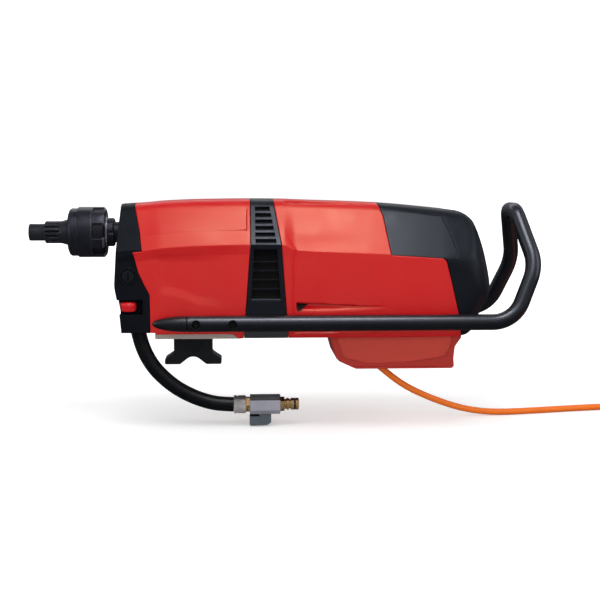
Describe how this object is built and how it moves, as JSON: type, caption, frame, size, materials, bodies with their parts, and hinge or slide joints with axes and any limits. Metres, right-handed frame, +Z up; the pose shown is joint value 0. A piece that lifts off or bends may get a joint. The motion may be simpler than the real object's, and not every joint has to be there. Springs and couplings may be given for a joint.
{
  "type": "core drill rig",
  "caption": "Drive unit of a diamond core drill: faceted motor housing, geared spindle with chuck, tubular carrying handle, water hose with shut-off valve and mains lead.",
  "frame": {"origin": "middle of the carriage seat on the underside of the interface plate, where a drill stand holds the unit", "axes": "+X along the spindle from the chuck towards the carrying handle, +Z up away from the carriage seat"},
  "size_m": [0.918, 0.2886, 0.289],
  "materials": {
    "red_plastic": "satin moulded shell",
    "black_plastic": "fine-textured moulding",
    "dark_plastic": "moulded insert",
    "black_paint": "satin powder coat",
    "claw_black": "black coated casting",
    "plate_metal": "machined plate",
    "blackened_steel": "blackened, turned",
    "crimped_steel": "crimped",
    "machined_steel": "turned",
    "gear_steel": "ground",
    "cast_alloy": "cast",
    "laminations": "stacked sheet",
    "winding_copper": "enamelled wire",
    "brass_fitting": "turned",
    "valve_zinc": "bead-blasted",
    "lever_grey": "moulded",
    "hose_rubber": "smooth rubber",
    "soft_rubber": "moulded rubber",
    "lead_orange": "polyurethane sheath",
    "smoked_window": "clear moulding",
    "screw_steel": "blackened",
    "circuit_board": "lacquered",
    "knob_red": "moulded",
    "button_green": "moulded",
    "button_grey": "moulded"
  },
  "bodies": {
    "housing": {"gear_cover": "black_plastic", "front_hood": "red_plastic", "vent_band": "dark_plastic", "rear_hood": "red_plastic", "motor_cap": "black_plastic", "side_panel": "black_plastic", "control_panel": "black_plastic", "display_window": "smoked_window", "switch_block": "dark_plastic", "interface_plate": "plate_metal", "mounting_claw": "claw_black", "handle_tube": "black_paint", "handle_end_plugs": "soft_rubber", "handle_spacers": "cast_alloy", "handle_screws": "screw_steel", "case_screws": "screw_steel", "cable_box": "red_plastic", "cable_gland": "soft_rubber", "power_cord": "lead_orange", "plug_lead": "lead_orange", "cord_coil": "lead_orange", "cord_tie": "black_plastic", "plug_body": "soft_rubber", "plug_pins": "machined_steel", "water_hose": "hose_rubber", "hose_union": "brass_fitting", "hose_ferrule": "crimped_steel", "valve_nipple": "brass_fitting", "valve_body": "valve_zinc", "coupling_plug": "brass_fitting", "coupling_o_ring": "soft_rubber", "water_block": "brass_fitting", "indicator_window": "smoked_window", "water_pipe": "brass_fitting", "water_ring": "brass_fitting", "stator_core": "laminations", "stator_windings": "winding_copper", "shaft_bearings": "machined_steel", "shaft_seal": "soft_rubber", "gear_case": "cast_alloy", "motor_housing": "cast_alloy", "rear_bracket": "cast_alloy", "heat_sink": "cast_alloy", "power_board": "circuit_board"},
    "spindle_assembly": {"spindle": "blackened_steel", "spindle_gear": "gear_steel", "chuck_body": "blackened_steel", "drive_nose": "blackened_steel"},
    "chuck_sleeve_body": {"chuck_sleeve": "blackened_steel"},
    "countershaft_assembly": {"countershaft": "gear_steel", "counter_wheel": "gear_steel"},
    "rotor_assembly": {"rotor_shaft": "gear_steel", "rotor_core": "laminations", "cooling_fan": "dark_plastic"},
    "flow_knob_body": {"flow_knob": "knob_red"},
    "indicator_body": {"indicator_wheel": "knob_red"},
    "valve_handle": {"valve_lever": "lever_grey", "valve_ball": "machined_steel"},
    "on_button_body": {"on_button": "button_green"},
    "off_button_body": {"off_button": "button_grey"}
  },
  "joints": [
    {"name": "spindle_spin", "type": "hinge", "parent": "housing", "child": "spindle_assembly", "pos_m": [-0.06, 0, 0.131], "axis": [1, 0, 0], "continuous": true},
    {"name": "chuck_turn", "type": "hinge", "parent": "spindle_assembly", "child": "chuck_sleeve_body", "pos_m": [-0.128, 0, 0.131], "axis": [1, 0, 0], "range_deg": [0, 40]},
    {"name": "countershaft_spin", "type": "hinge", "parent": "housing", "child": "countershaft_assembly", "pos_m": [-0.05, 0.03424, 0.10667], "axis": [1, 0, 0], "continuous": true},
    {"name": "rotor_spin", "type": "hinge", "parent": "housing", "child": "rotor_assembly", "pos_m": [0.04, 0, 0.088], "axis": [1, 0, 0], "continuous": true},
    {"name": "flow_knob_turn", "type": "hinge", "parent": "housing", "child": "flow_knob_body", "pos_m": [-0.0784, -0.0615, 0.045], "axis": [0, 0, 1], "range_deg": [0, 270]},
    {"name": "indicator_spin", "type": "hinge", "parent": "housing", "child": "indicator_body", "pos_m": [-0.0778, -0.062, 0.0788], "axis": [0, 1, 0], "continuous": true},
    {"name": "valve_turn", "type": "hinge", "parent": "housing", "child": "valve_handle", "pos_m": [0.0914, -0.045, -0.0955], "axis": [0, 0, 1], "range_deg": [0, 90]},
    {"name": "on_press", "type": "slide", "parent": "housing", "child": "on_button_body", "axis": [-0.0577, -0.8259, -0.5608], "range_m": [0, 0.0015], "stiffness_N_per_m": 400, "springref_m": -0.0005},
    {"name": "off_press", "type": "slide", "parent": "housing", "child": "off_button_body", "axis": [-0.0577, -0.8256, -0.5613], "range_m": [0, 0.0015], "stiffness_N_per_m": 400, "springref_m": -0.0005}
  ],
  "couplings": [
    {"joint": "countershaft_spin", "follows": "spindle_spin", "ratio": -2.2308},
    {"joint": "rotor_spin", "follows": "spindle_spin", "ratio": 7.4359}
  ]
}
